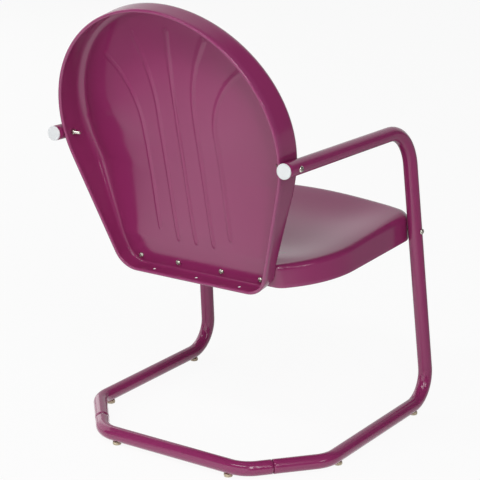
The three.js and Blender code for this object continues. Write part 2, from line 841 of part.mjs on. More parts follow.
function seatHeight(x, y) {
  const share = -y / seatLength;
  const across = (x / seatHalfWidth) ** 2;
  const edge = lerp(seatRearSkirt, seatFrontSkirt, share) + seatFrontCrown * share * (1 - across);
  const out = Math.min(Math.hypot(across, (2 * share - 1) ** 2) / seatDishShare, 1);
  return edge - seatDish * (1 - out);
}

// Centre of the front corner's arc, which runs on smoothly from the bow of the front edge
const bowY = -seatLength + seatFrontBowRadius;
const cornerX = seatHalfWidth - seatFrontCornerRadius;
const cornerY = bowY - Math.sqrt((seatFrontBowRadius - seatFrontCornerRadius) ** 2 - cornerX ** 2);

// Half the width of the seat's rim ahead of its shoulders: straight sides, then the front corners
function seatSideAt(y) {
  const ahead = Math.max(cornerY - y, 0);
  if (ahead === 0) {
    return seatHalfWidth;
  }
  return cornerX + Math.sqrt(Math.max(seatFrontCornerRadius ** 2 - ahead ** 2, 0)) - contactGap;
}

function seatOutline() {
  const rear = { x: 0, y: 0, nx: 0, ny: 1 };
  const bowAngle = Math.atan2(cornerY - bowY, cornerX);
  const shoulderX = seatHalfWidth - seatShoulderRadius;
  const shoulderY = -seatRearward - seatShoulderForward;
  const rearCornerY = -seatRearCornerRadius;
  const shoulderTurn = Math.asin((rearCornerY - shoulderY) / (seatShoulderRadius - seatRearCornerRadius));
  const rearCornerX = shoulderX + (seatShoulderRadius - seatRearCornerRadius) * Math.cos(shoulderTurn);
  const arcs = [
    { x: 0, y: bowY, radius: seatFrontBowRadius, from: -Math.PI / 2, to: bowAngle, steps: seatBowSteps },
    { x: cornerX, y: cornerY, radius: seatFrontCornerRadius, from: bowAngle, to: 0, steps: seatCornerSteps },
    {
      x: shoulderX,
      y: shoulderY,
      radius: seatShoulderRadius,
      from: 0,
      to: shoulderTurn,
      steps: seatShoulderSteps,
      runShares: seatSideRunShares,
    },
    {
      x: rearCornerX,
      y: rearCornerY,
      radius: seatRearCornerRadius,
      from: shoulderTurn,
      to: Math.PI / 2,
      steps: seatCornerSteps,
      endShares: wallRunShares,
    },
  ];
  return mirroredOutline({ arcs, end: rear });
}

function seatPan() {
  let pan = pressedTray({
    outline: seatOutline(),
    centre: new THREE.Vector2(0, -seatLength / 2),
    panelShares: seatPanelShares,
    depthAt: seatHeight,
    edgeRadiusAt: (p) => lerp(seatSideFoldRadius, seatFrontFoldRadius, Math.max(-p.ny, 0) ** 2),
    driftAt: (p, depth) => ({ x: 0, y: depth * Math.tan(backLean - seatPitch) * Math.max(p.ny, 0) ** 2 }),
  });
  pan = pan.transform(seatPlacement.elements);
  for (const bolt of backBolts()) {
    pan = pan.subtract(bolt.hole());
  }
  for (const side of [-1, 1]) {
    pan = pan.subtract(seatBolt(side).hole());
  }
  return pan;
}

// Assembly

const chair = new THREE.Group();
chair.name = "lawn_chair";

chair.add(named("rear_cross_tube", rearCrossTube(), plumCoat));
chair.add(named("seat_pan", seatPan(), plumCoat));
chair.add(named("back_shell", backShell(), plumCoat));

for (const [hand, side] of [["right", -1], ["left", 1]]) {
  chair.add(named(`${hand}_side_tube`, sideTube(side), plumCoat));
  chair.add(named(`${hand}_arm_plug`, armPlug(side), whitePlastic));
  chair.add(named(`${hand}_front_glide`, glide(frontGlidePlace(side)), paleBrass));
  chair.add(named(`${hand}_runner_glide`, glide(runnerGlidePlace(side)), paleBrass));
  chair.add(named(`${hand}_rear_glide`, glide(rearGlidePlace(side)), paleBrass));
  chair.add(named(`${hand}_arm_bolt`, armBolt(side).solid(), brightSteel));
  chair.add(named(`${hand}_arm_nut`, armNut(side), plumCoat));
  chair.add(named(`${hand}_seat_bolt`, seatBolt(side).solid(), brightSteel));
  chair.add(named(`${hand}_seat_nut`, seatNut(side), brightSteel));
}

backBolts().forEach((bolt, i) => {
  chair.add(named(`back_bolt_${i + 1}`, bolt.solid(), brightSteel));
  chair.add(named(`back_nut_${i + 1}`, backNut(backBoltOffsets[i]), brightSteel));
});

// The origin is on the floor, midway between the front of the seat and the rear of the back
const extent = new THREE.Box3().setFromObject(chair);
chair.position.y = -(extent.min.y + extent.max.y) / 2;

export default chair;
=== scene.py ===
# Looks of a retro metal lawn chair: plum powder coat over a sprung tube frame, a pressed seat and a
# fan-ribbed back. The sitter faces -Y and +Z is up. Sizes are in millimetres until a mesh is made.

import math

import bpy
import numpy as np
from mathutils import Matrix, Vector


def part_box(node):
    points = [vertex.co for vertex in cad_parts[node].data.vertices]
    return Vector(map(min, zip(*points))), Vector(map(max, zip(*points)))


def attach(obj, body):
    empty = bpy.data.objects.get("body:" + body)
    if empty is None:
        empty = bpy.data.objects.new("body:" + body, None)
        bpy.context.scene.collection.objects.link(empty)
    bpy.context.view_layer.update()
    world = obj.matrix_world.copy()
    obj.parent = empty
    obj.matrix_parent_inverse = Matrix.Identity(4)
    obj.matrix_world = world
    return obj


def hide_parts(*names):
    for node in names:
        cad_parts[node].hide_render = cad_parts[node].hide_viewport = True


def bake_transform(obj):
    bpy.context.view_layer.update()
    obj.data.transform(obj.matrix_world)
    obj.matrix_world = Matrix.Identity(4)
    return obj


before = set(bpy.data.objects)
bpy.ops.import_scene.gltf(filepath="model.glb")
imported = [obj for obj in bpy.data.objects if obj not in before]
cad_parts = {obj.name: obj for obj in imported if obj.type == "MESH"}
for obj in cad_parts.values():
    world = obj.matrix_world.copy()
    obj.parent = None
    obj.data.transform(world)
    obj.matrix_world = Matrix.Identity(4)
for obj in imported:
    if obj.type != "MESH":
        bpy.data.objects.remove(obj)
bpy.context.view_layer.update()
print("frame loaded:", len(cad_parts), "nodes")

mm = 0.001

# Side tubes and rear cross tube, on their centre lines
tubeSizes = {
    "radius": 14.0,
    "wall": 1.5,
    "sides": 36,
    "stationStep": 9.0,
    "bendStepDegrees": 4.0,
    "floorHeight": 20.5,
    "armEnd": (232.5, 599.0),
    "armBend": (-211.0, 247.0, 585.2),
    "footBend": (-273.1, 270.9),
    "runnerBendRearward": 106.2,
    "crossBend": (163.3, 228.8),
    "armBendRadius": 86.0,
    "footBendRadius": 58.0,
    "cornerRadius": 60.0,
    "seamShare": 0.655,
    "seamGap": 1.3,
    "neckLength": 38.0,
    "neckRadius": 12.1,
    "neckStep": 0.05,
    "endRounding": 1.0,
}

# The frame's origin lies this far from the drawing's, along Y
rearFace = tubeSizes["crossBend"][1] + tubeSizes["radius"]
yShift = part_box("rear_cross_tube")[1].y / mm - rearFace


# Meshes and objects


def inScene(name, data):
    obj = bpy.data.objects.new(name, data)
    bpy.context.scene.collection.objects.link(obj)
    return obj


def meshObject(name, points, faces=(), edges=()):
    mesh = bpy.data.meshes.new(name)
    mesh.from_pydata([tuple(p) for p in points], edges, faces)
    mesh.update()
    return inScene(name, mesh)


def toFrame(obj):
    # From the drawing's millimetres to the frame's metres
    obj.data.transform(Matrix.Scale(mm, 4) @ Matrix.Translation((0, yShift, 0)))
    return obj


def smooth(obj):
    obj.data.polygons.foreach_set("use_smooth", [True] * len(obj.data.polygons))
    return obj


def floatAttribute(obj, name, values):
    attribute = obj.data.attributes.new(name, "FLOAT", "POINT")
    attribute.data.foreach_set("value", np.asarray(values, np.float32))


def applied(obj):
    # The evaluated mesh replaces the object's own, and its modifiers go
    graph = bpy.context.evaluated_depsgraph_get()
    mesh = bpy.data.meshes.new_from_object(obj.evaluated_get(graph))
    obj.modifiers.clear()
    old = obj.data
    obj.data = mesh
    bpy.data.meshes.remove(old)
    return obj


def walled(obj, thickness):
    modifier = obj.modifiers.new("wall", "SOLIDIFY")
    modifier.thickness = thickness
    modifier.offset = -1
    return applied(obj)


def ringSkin(rings, poles=(None, None), closed=True):
    # Faces through rings of equally many points, with a point at either end where one is given
    count = len(rings[0])
    points = [p for ring in rings for p in ring]
    faces = []
    for r in range(len(rings) - 1):
        for i in range(count if closed else count - 1):
            j = (i + 1) % count
            a, b = r * count, (r + 1) * count
            faces.append((a + i, a + j, b + j, b + i))
    for pole, ring in zip(poles, (0, len(rings) - 1)):
        if pole is None:
            continue
        points.append(pole)
        last = len(points) - 1
        for i in range(count):
            j = (i + 1) % count
            a, b = ring * count + i, ring * count + j
            faces.append((last, b, a) if ring == 0 else (last, a, b))
    return points, faces


def roundRing(radius, height, sides=24):
    # A ring of points round the z axis, with one radius for all or one for each
    radii = radius if isinstance(radius, list) else [radius] * sides
    angles = [2 * math.pi * i / sides for i in range(sides)]
    return [(r * math.cos(a), r * math.sin(a), height) for r, a in zip(radii, angles)]


def hexagonRadii(across, sides=24):
    # From the middle of a hexagon to its edge, for each point of a ring
    sixth = math.pi / 3
    turns = [(2 * math.pi * i / sides) % sixth - sixth / 2 for i in range(sides)]
    return [across / 2 / math.cos(turn) for turn in turns]


def ride(obj, body, slot, *nodes):
    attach(obj, body)
    if nodes:
        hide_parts(*nodes)
    return obj


# Geometry node trees


def nodeTree(name, *inputs):
    tree = bpy.data.node_groups.new(name, "GeometryNodeTree")
    tree.interface.new_socket("Geometry", in_out="INPUT", socket_type="NodeSocketGeometry")
    for label, kind in (*inputs, ("Material", "Material")):
        tree.interface.new_socket(label, in_out="INPUT", socket_type="NodeSocket" + kind)
    tree.interface.new_socket("Geometry", in_out="OUTPUT", socket_type="NodeSocketGeometry")
    return tree, tree.nodes.new("NodeGroupInput"), tree.nodes.new("NodeGroupOutput")


def ending(tree, group, output, geometry):
    # Every tree ends in real geometry that carries its material
    real = tree.nodes.new("GeometryNodeRealizeInstances")
    paint = tree.nodes.new("GeometryNodeSetMaterial")
    tree.links.new(geometry, real.inputs[0])
    tree.links.new(real.outputs[0], paint.inputs["Geometry"])
    tree.links.new(group.outputs["Material"], paint.inputs["Material"])
    tree.links.new(paint.outputs[0], output.inputs[0])
    return tree


def setInputs(modifier, **values):
    for item in modifier.node_group.interface.items_tree:
        if item.item_type == "SOCKET" and item.in_out == "INPUT" and item.name in values:
            modifier[item.identifier] = values[item.name]


def grown(obj, tree, **values):
    modifier = obj.modifiers.new(tree.name, "NODES")
    modifier.node_group = tree
    setInputs(modifier, **values)
    return applied(obj)


def mathNode(nodes, operation, constant=None, kind="ShaderNodeMath"):
    node = nodes.new(kind)
    node.operation = operation
    if constant is not None:
        node.inputs[1].default_value = constant
    return node


def tubeTree():
    # A round skin along a line whose points carry their own radius
    tree, group, output = nodeTree("bentTube", ("Sides", "Int"))
    nodes, link = tree.nodes, tree.links.new
    line = nodes.new("GeometryNodeMeshToCurve")
    radius = nodes.new("GeometryNodeInputNamedAttribute")
    radius.data_type = "FLOAT"
    radius.inputs["Name"].default_value = "radius"
    sized = nodes.new("GeometryNodeSetCurveRadius")
    circle = nodes.new("GeometryNodeCurvePrimitiveCircle")
    circle.inputs["Radius"].default_value = 1
    sweep = nodes.new("GeometryNodeCurveToMesh")
    link(group.outputs["Geometry"], line.inputs["Mesh"])
    link(line.outputs["Curve"], sized.inputs["Curve"])
    link(radius.outputs["Attribute"], sized.inputs["Radius"])
    link(group.outputs["Sides"], circle.inputs["Resolution"])
    link(sized.outputs["Curve"], sweep.inputs["Curve"])
    link(circle.outputs["Curve"], sweep.inputs["Profile Curve"])
    curveRadius = nodes.new("GeometryNodeInputRadius")
    link(curveRadius.outputs[0], sweep.inputs["Scale"])
    return ending(tree, group, output, sweep.outputs["Mesh"])


def copiesTree():
    # One copy of a piece at each point, turned so that its +Z follows the point's aim
    tree, group, output = nodeTree("copiesOnPoints", ("Piece", "Object"))
    nodes, link = tree.nodes, tree.links.new
    aim = nodes.new("GeometryNodeInputNamedAttribute")
    aim.data_type = "FLOAT_VECTOR"
    aim.inputs["Name"].default_value = "aim"
    turn = nodes.new("FunctionNodeAlignRotationToVector")
    turn.axis = "Z"
    info = nodes.new("GeometryNodeObjectInfo")
    points = nodes.new("GeometryNodeMeshToPoints")
    copies = nodes.new("GeometryNodeInstanceOnPoints")
    link(group.outputs["Geometry"], points.inputs["Mesh"])
    link(group.outputs["Piece"], info.inputs["Object"])
    link(aim.outputs["Attribute"], turn.inputs["Vector"])
    link(points.outputs["Points"], copies.inputs["Points"])
    link(info.outputs["Geometry"], copies.inputs["Instance"])
    link(turn.outputs["Rotation"], copies.inputs["Rotation"])
    return ending(tree, group, output, copies.outputs["Instances"])


def ribTree():
    # Presses a sheet along lines: a smooth bead as wide and as deep as its inputs say
    sockets = ("Lines", "Object"), ("Half Width", "Float"), ("Height", "Float")
    tree, group, output = nodeTree("pressedRibs", *sockets)
    nodes, link = tree.nodes, tree.links.new
    info = nodes.new("GeometryNodeObjectInfo")
    near = nodes.new("GeometryNodeProximity")
    near.target_element = "EDGES"
    bead = nodes.new("ShaderNodeMapRange")
    bead.interpolation_type = "SMOOTHERSTEP"
    bead.inputs["From Max"].default_value = 0
    bead.inputs["To Max"].default_value = 1
    depth = mathNode(nodes, "MULTIPLY")
    back = mathNode(nodes, "MULTIPLY", -1)
    offset = nodes.new("ShaderNodeCombineXYZ")
    press = nodes.new("GeometryNodeSetPosition")
    link(group.outputs["Lines"], info.inputs["Object"])
    link(info.outputs["Geometry"], near.inputs[0])
    link(near.outputs["Distance"], bead.inputs["Value"])
    link(group.outputs["Half Width"], bead.inputs["From Min"])
    link(bead.outputs["Result"], depth.inputs[0])
    link(group.outputs["Height"], depth.inputs[1])
    link(depth.outputs[0], back.inputs[0])
    link(back.outputs[0], offset.inputs["Z"])
    link(group.outputs["Geometry"], press.inputs["Geometry"])
    link(offset.outputs["Vector"], press.inputs["Offset"])
    return ending(tree, group, output, press.outputs["Geometry"])


# Finishes


def shaderGroup(name, inputs, outputs):
    group = bpy.data.node_groups.new(name, "ShaderNodeTree")
    for way, sockets in (("INPUT", inputs), ("OUTPUT", outputs)):
        for label, kind in sockets.items():
            group.interface.new_socket(label, in_out=way, socket_type="NodeSocket" + kind)
    return group, group.nodes.new("NodeGroupInput"), group.nodes.new("NodeGroupOutput")


def objectNoise(nodes, link, scale, detail):
    # Noise on object coordinates, with its scale from a socket
    place = nodes.new("ShaderNodeTexCoord")
    noise = nodes.new("ShaderNodeTexNoise")
    noise.inputs["Detail"].default_value = detail
    link(place.outputs["Object"], noise.inputs["Vector"])
    link(scale, noise.inputs["Scale"])
    return noise.outputs["Fac"]


flowInputs = ("Peel Scale", "Cloud Scale", "Gloss Spread")


def surfaceFlowGroup():
    # A finish that has flowed out: soft orange peel under a faint cloudiness of tone and gloss
    results = ("Peel", "Cloud", "Gloss")
    sockets = [dict.fromkeys(labels, "Float") for labels in (flowInputs, results)]
    group, given, out = shaderGroup("surfaceFlow", *sockets)
    nodes, link = group.nodes, group.links.new
    peel = objectNoise(nodes, link, given.outputs["Peel Scale"], detail=2)
    cloud = objectNoise(nodes, link, given.outputs["Cloud Scale"], detail=3)
    spread = mathNode(nodes, "MULTIPLY")
    link(cloud, spread.inputs[0])
    link(given.outputs["Gloss Spread"], spread.inputs[1])
    link(peel, out.inputs["Peel"])
    link(cloud, out.inputs["Cloud"])
    link(spread.outputs[0], out.inputs["Gloss"])
    return group


edgeGrain = {"From Min": 0.3, "From Max": 0.7, "To Min": 0.6}


def edgeTintGroup():
    # A lighter plum along a sheet's rolled edge, partly a thinner coat and partly a painted
    # highlight, broken up by fine noise
    inputs = {"Base": "Color", "Edge": "Color", "Amount": "Float", "Grain Scale": "Float"}
    group, given, out = shaderGroup("edgeTint", inputs, {"Color": "Color"})
    nodes, link = group.nodes, group.links.new
    rim = nodes.new("ShaderNodeAttribute")
    rim.attribute_name = "rim"
    grain = objectNoise(nodes, link, given.outputs["Grain Scale"], detail=3)
    broken = nodes.new("ShaderNodeMapRange")
    for label, value in edgeGrain.items():
        broken.inputs[label].default_value = value
    mask = mathNode(nodes, "MULTIPLY")
    amount = mathNode(nodes, "MULTIPLY")
    mix = nodes.new("ShaderNodeMix")
    mix.data_type = "RGBA"
    link(grain, broken.inputs["Value"])
    link(rim.outputs["Fac"], mask.inputs[0])
    link(broken.outputs["Result"], mask.inputs[1])
    link(mask.outputs[0], amount.inputs[0])
    link(given.outputs["Amount"], amount.inputs[1])
    link(amount.outputs[0], mix.inputs["Factor"])
    link(given.outputs["Base"], mix.inputs["A"])
    link(given.outputs["Edge"], mix.inputs["B"])
    link(mix.outputs["Result"], out.inputs["Color"])
    return group


surfaceFlow = surfaceFlowGroup()
edgeTint = edgeTintGroup()


def newMaterial(name):
    material = bpy.data.materials.new(name)
    material.use_nodes = True
    return material, material.node_tree.nodes, material.node_tree.links.new


def groupNode(nodes, group, **values):
    node = nodes.new("ShaderNodeGroup")
    node.node_tree = group
    for label, value in values.items():
        node.inputs[label].default_value = value
    return node


# The flow row gives the scale of the peel, the scale of the clouds and how far the gloss drifts
finishLooks = {
    "plumCoat": {
        "colour": (0.300, 0.029, 0.133, 1),
        "shade": (0.276, 0.026, 0.122, 1),
        # Rolled edges: a lighter plum, partly a thinner coat and partly a painted highlight
        "edge": {"Edge": (0.40, 0.10, 0.24, 1), "Amount": 0.3, "Grain Scale": 160},
        "flow": (420, 9, 0.05),
        "roughness": 0.13,
        "peelDepth": 0.000003,
    },
    "whitePlastic": {
        "colour": (0.86, 0.88, 0.89, 1),
        "shade": (0.80, 0.83, 0.84, 1),
        "flow": (900, 60, 0.05),
        "roughness": 0.35,
        "peelDepth": 0.00003,
    },
    "creamPlastic": {
        "colour": (0.66, 0.60, 0.42, 1),
        "shade": (0.54, 0.48, 0.32, 1),
        "flow": (900, 60, 0.05),
        "roughness": 0.4,
        "peelDepth": 0.00003,
    },
    "brightZinc": {
        "colour": (0.72, 0.70, 0.62, 1),
        "shade": (0.50, 0.49, 0.44, 1),
        "flow": (1600, 300, 0.2),
        "roughness": 0.16,
        "metallic": 1,
    },
}


def finishMaterial(name):
    # Tone and gloss drift over the surface; a coat is lighter along its rolled edges, partly
    # thinner there and partly a painted highlight; all but the zinc has a fine peel
    look = finishLooks[name]
    material, nodes, link = newMaterial(name)
    shader = nodes["Principled BSDF"]
    shader.inputs["Metallic"].default_value = look.get("metallic", 0)
    flow = groupNode(nodes, surfaceFlow, **dict(zip(flowInputs, look["flow"])))
    mix = nodes.new("ShaderNodeMix")
    mix.data_type = "RGBA"
    mix.inputs["A"].default_value = look["colour"]
    mix.inputs["B"].default_value = look["shade"]
    gloss = mathNode(nodes, "ADD", look["roughness"])
    link(flow.outputs["Cloud"], mix.inputs["Factor"])
    link(flow.outputs["Gloss"], gloss.inputs[0])
    link(gloss.outputs[0], shader.inputs["Roughness"])
    colour = mix.outputs["Result"]
    # The lighter plum on the rolled edges is partly a painted highlight
    if "edge" in look:
        tint = groupNode(nodes, edgeTint, **look["edge"])
        link(colour, tint.inputs["Base"])
        colour = tint.outputs["Color"]
    link(colour, shader.inputs["Base Color"])
    if "peelDepth" in look:
        bump = nodes.new("ShaderNodeBump")
        bump.inputs["Distance"].default_value = look["peelDepth"]
        link(flow.outputs["Peel"], bump.inputs["Height"])
        link(bump.outputs["Normal"], shader.inputs["Normal"])
    return material


plumCoat, whitePlastic, creamPlastic, brightZinc = map(finishMaterial, finishLooks)
print("finishes made")


# Pressed sheet


def linearStep(value, low, high):
    return np.clip((value - low) / (high - low), 0, 1)


def smoothStep(value, low, high):
    t = linearStep(value, low, high)
    return t * t * (3 - 2 * t)


def arcPoints(centre, radius, start, end, steps):
    angles = np.linspace(start, end, steps + 1)
    normals = np.stack([np.cos(angles), np.sin(angles)], 1)
    return np.asarray(centre) + radius * normals, normals


def runPoints(before, beforeNormal, after, afterNormal, steps):
    # Evenly spaced points from one arc to the next, ends left out, and normals that turn on the way
    share = (np.arange(1, steps) / steps)[:, None]
    normals = beforeNormal + share * (afterNormal - beforeNormal)
    normals /= np.linalg.norm(normals, axis=1)[:, None]
    return before + share * (after - before), normals


def mirroredOutline(arcs, runSteps):
    # Arcs of the +x half, with a run of so many steps before each but the first, and their mirror
    # image; an arc with no run before it starts where the last one ends
    points, normals = [arcs[0][0]], [arcs[0][1]]
    for (arcAt, arcNormals), steps in zip(arcs[1:], runSteps):
        if steps:
            run = runPoints(points[-1][-1], normals[-1][-1], arcAt[0], arcNormals[0], steps)
            points.append(run[0])
            normals.append(run[1])
        first = 0 if steps else 1
        points.append(arcAt[first:])
        normals.append(arcNormals[first:])
    flip = np.array([-1, 1])
    halves = np.concatenate(points), np.concatenate(normals)
    return [np.concatenate([half, half[::-1][1:-1] * flip]) for half in halves]


def pressedSheet(name, outline, centre, sizes, depthAt, foldRadiusAt, driftAt):
    # The outer skin of a tray: panel from its centre, fold, flange, and an edge rolled inwards
    at, out = outline
    fold = foldRadiusAt(at, out)[:, None]
    inner = at - out * fold
    innerDepth = depthAt(inner[:, 0], inner[:, 1])[:, None]

    def ring(inset, depth):
        place = at - out * inset
        return np.concatenate([place + driftAt(out, depth), depth], 1)

    rings = []
    middle = np.asarray(centre)
    edge = ring(fold, innerDepth)[:, :2]
    for share in np.linspace(0, 1, sizes["panelRings"] + 1)[1:]:
        place = middle + share * (edge - middle)
        rings.append(np.column_stack([place, depthAt(*place.T)]))
    for step in range(1, sizes["foldRings"] + 1):
        angle = step / sizes["foldRings"] * math.pi / 2
        rings.append(ring(fold * (1 - math.sin(angle)), innerDepth - fold * (1 - math.cos(angle))))
    flangeTop = innerDepth - fold
    roll = sizes["rollRadius"]
    for step in range(1, sizes["flangeRings"]):
        share = step / sizes["flangeRings"]
        rings.append(ring(np.zeros_like(fold), flangeTop + share * (roll - flangeTop)))
    plainCount = len(rings) * len(at)
    for step in range(sizes["rollRings"] + 1):
        angle = step / sizes["rollRings"] * sizes["rollTurn"]
        inset, depth = roll * (1 - math.cos(angle)), roll * (1 - math.sin(angle))
        rings.append(ring(np.full_like(fold, inset), np.full_like(fold, depth)))
    pole = (*centre, float(depthAt(*middle[:, None])[0]))
    points, faces = ringSkin(rings, (pole, None))
    obj = meshObject(name, points, [face[::-1] for face in faces])
    rollCount = len(rings) * len(at) - plainCount
    # The rolled edge is marked for its lighter colour, partly a painted highlight
    floatAttribute(obj, "rim", [0] * plainCount + [1] * rollCount + [0])
    return obj


# Back shell. Drawn with x across, y up its rear rim and z forwards from the rim.
backSizes = {
    "rimRearward": 162.1,
    "rimHeight": 332.8,
    "lean": math.radians(13.1),
    "topRadius": 242.4,
    "topCentreUp": 298.7,
    "footHalfWidth": 173.0,
    "footRadius": 47.0,
    "footDepth": 40.0,
    "footTilt": (2.8, 42.0, 1.3),
    "lumbarDepth": 37.5,
    "upperDepth": 47.0,
    "sideDepth": 66.5,
    "crownDepth": 50.5,
    "cove": (42.0, 120.0),
    "sideRise": (58.0, 200.0),
    "upperRise": (75.0, 480.0),
    "dishTurn": (250.0, 340.0),
    "dishPowers": (2.0, 4.0),
    "foldRadii": (7.0, 16.5),
    "flangeDrop": 4.5,
    "sheet": 1.5,
    "rollRadius": 3.25,
    "rollTurn": math.radians(300),
    "panelRings": 84,
    "foldRings": 8,
    "flangeRings": 4,
    "rollRings": 12,
    "outlineSteps": {"foot": 66, "corner": 14, "side": 46, "top": 80},
}

ribSizes = {
    "halfWidth": 4.8,
    "height": 2.6,
    "step": 4.0,
    "fanSteps": 24,
    "lines": (  # offset, foot, where the fan starts, its radius and how far it turns
        (0.0, 63.4, 483.3, 0.0, 0.0),
        (40.0, 63.4, 325.3, 300.0, 29.3),
        (80.0, 82.0, 290.3, 160.0, 55.6),
    ),
}

drainHoles = {"radius": 3.0, "spacing": 97.8, "depth": 21.0, "overrun": 6.0}


def backPlacement():
    b = backSizes
    sine, cosine = math.sin(b["lean"]), math.cos(b["lean"])
    columns = ((1, 0, 0), (0, sine, cosine), (0, -cosine, sine))
    turn = Matrix(columns).transposed().to_4x4()
    return Matrix.Translation((0, b["rimRearward"], b["rimHeight"])) @ turn


def backSlope():
    b = backSizes
    rise, reach = b["topCentreUp"] - b["footRadius"], b["footHalfWidth"] - b["footRadius"]
    turn = math.acos((b["topRadius"] - b["footRadius"]) / math.hypot(rise, reach))
    return math.atan2(-rise, reach) + turn


def backHalfWidth(y):
    b = backSizes
    angle = backSlope()
    tangentUp = b["topCentreUp"] + b["topRadius"] * math.sin(angle)
    above = b["topRadius"] ** 2 - (y - b["topCentreUp"]) ** 2
    taper = b["topRadius"] * math.cos(angle) + (tangentUp - y) * math.tan(angle)
    return np.where(y > tangentUp, np.sqrt(np.maximum(above, 0)), taper)


def backDepth(x, y):
    b = backSizes
    above = np.maximum(y - b["topCentreUp"], 0)
    fold = b["foldRadii"][1]
    rim = np.abs(x) / (backHalfWidth(np.minimum(y, b["topCentreUp"])) - fold)
    rimShare = np.where(above > 0, np.hypot(x, above) / (b["topRadius"] - fold), rim)
    foot = b["footDepth"]
    middle = foot + (b["lumbarDepth"] - foot) * smoothStep(y, *b["cove"])
    middle = middle + (b["upperDepth"] - middle) * linearStep(y, *b["upperRise"])
    tilt, tiltUp, tiltPower = b["footTilt"]
    side = foot + (b["sideDepth"] - foot) * linearStep(y, *b["sideRise"])
    edge = side + (b["crownDepth"] - side) * (above / b["topRadius"]) ** 2
    low, high = b["dishPowers"]
    power = low + (high - low) * smoothStep(y, *b["dishTurn"])
    dished = middle + (edge - middle) * np.minimum(rimShare, 1) ** power
    return dished - tilt * np.maximum(1 - y / tiltUp, 0) ** tiltPower


def backOutline():
    b = backSizes
    steps = b["outlineSteps"]
    slope = backSlope()
    middle = (b["footHalfWidth"] - b["footRadius"], b["footRadius"])
    start = arcPoints((0, 0), 0, -math.pi / 2, -math.pi / 2, 0)
    corner = arcPoints(middle, b["footRadius"], -math.pi / 2, slope, steps["corner"])
    top = arcPoints((0, b["topCentreUp"]), b["topRadius"], slope, math.pi / 2, steps["top"])
    return mirroredOutline([start, corner, top], (steps["foot"], steps["side"]))


def ribLines():
    # The ribs' centre lines as plain edges on the panel
    points, edges = [], []
    for offset, foot, bend, radius, fan in ribSizes["lines"]:
        for side in (-1, 1) if offset else (1,):
            line = [(side * offset, y) for y in np.arange(foot, bend, ribSizes["step"])]
            for angle in np.linspace(0, math.radians(fan), ribSizes["fanSteps"] if radius else 1):
                outwards = offset + radius * (1 - math.cos(angle))
                line.append((side * outwards, bend + radius * math.sin(angle)))
            first = len(points)
            x, y = np.array(line).T
            y[0] += ribSizes["halfWidth"] / 2
            points.extend(zip(x, y, backDepth(x, y)))
            edges.extend((first + i, first + i + 1) for i in range(len(line) - 1))
    return meshObject("ribLines", points, edges=edges)


def cylinderCutter(name, start, end, radius):
    along = Vector(end) - Vector(start)
    rings = [roundRing(radius, height) for height in (0, along.length)]
    obj = meshObject(name, *ringSkin(rings, ((0, 0, 0), (0, 0, along.length))))
    turn = along.to_track_quat("Z", "Y").to_matrix().to_4x4()
    obj.data.transform(Matrix.Translation(start) @ turn)
    return obj


def cutBy(obj, cutter):
    modifier = obj.modifiers.new("cut", "BOOLEAN")
    modifier.operation = "DIFFERENCE"
    modifier.solver = "EXACT"
    modifier.object = cutter
    applied(obj)
    bpy.data.objects.remove(cutter)


def makeBackShell():
    b = backSizes
    low, high = b["foldRadii"]

    def foldRadius(at, out):
        return low + (high - low) * smoothStep(at[:, 1], 0, b["sideRise"][1])

    def drift(out, depth):
        return np.concatenate([np.zeros_like(depth), -b["flangeDrop"] * depth / b["sideDepth"]], 1)

    shape = (backOutline(), (0.0, b["topCentreUp"]), b, backDepth, foldRadius, drift)
    sheet = pressedSheet("back_panel_pressing", *shape)
    lines = ribLines()
    values = {"Lines": lines, "Half Width": ribSizes["halfWidth"], "Height": ribSizes["height"]}
    grown(sheet, ribTree(), Material=plumCoat, **values)
    bpy.data.objects.remove(lines)
    walled(sheet, b["sheet"])
    d = drainHoles
    bottom, top = -b["flangeDrop"] - d["overrun"], d["overrun"]
    for x in (-d["spacing"], 0, d["spacing"]):
        ends = (x, bottom, d["depth"]), (x, top, d["depth"])
        cutBy(sheet, cylinderCutter("hole", *ends, d["radius"]))
    sheet.data.transform(backPlacement())
    toFrame(smooth(sheet))
    return ride(sheet, "seat_and_back", "plum_coat", "back_shell")


# Seat pan. Drawn with x across, y to the rear and z up from its lower rim.
seatSizes = {
    "frontForward": 292.0,
    "bowRadius": 760.0,
    "frontCornerRadius": 36.0,
    "shoulderForward": 30.0,
    "shoulderRadius": 205.0,
    "rearCornerRadius": 30.0,
    "rimHeight": 341.0,
    "rimRise": 14.0,
    "rearSkirt": 46.0,
    "frontSkirt": 60.0,
    "dish": 17.0,
    "frontCrown": 4.0,
    "dishShare": 0.9,
    "foldRadii": (11.0, 22.0),
    "foldGrowth": (0.5, 1.0),
    "sheet": 1.5,
    "rollRadius": 3.25,
    "rollTurn": math.radians(300),
    "gap": 0.3,
    "panelRings": 48,
    "foldRings": 10,
    "flangeRings": 6,
    "rollRings": 12,
    "outlineSteps": {
        "bow": 60,
        "frontCorner": 16,
        "side": 36,
        "shoulder": 24,
        "rearCorner": 12,
        "rear": 40,
    },
}


def seatFrame():
    # Where the seat's rear rim lies, its length and its pitch, from the foot of the back
    s, b = seatSizes, backSizes
    face = backPlacement() @ Vector((0, 0, b["footDepth"] + s["gap"]))
    rearward = face.y + (s["rimHeight"] - face.z) * math.tan(b["lean"])
    length = rearward + s["frontForward"]
    return rearward, length, math.atan(s["rimRise"] / length)


def legSpread():
    # How far a front leg moves outwards for each millimetre down
    t = tubeSizes
    return (t["footBend"][1] - t["armBend"][1]) / (t["armBend"][2] - t["floorHeight"])


def seatHalfWidth():
    t, s = tubeSizes, seatSizes
    foldHeight = s["rimHeight"] + s["rimRise"] + s["frontSkirt"] - s["foldRadii"][0]
    legInside = t["armBend"][1] + legSpread() * (t["armBend"][2] - foldHeight) - t["radius"]
    return legInside - s["gap"]


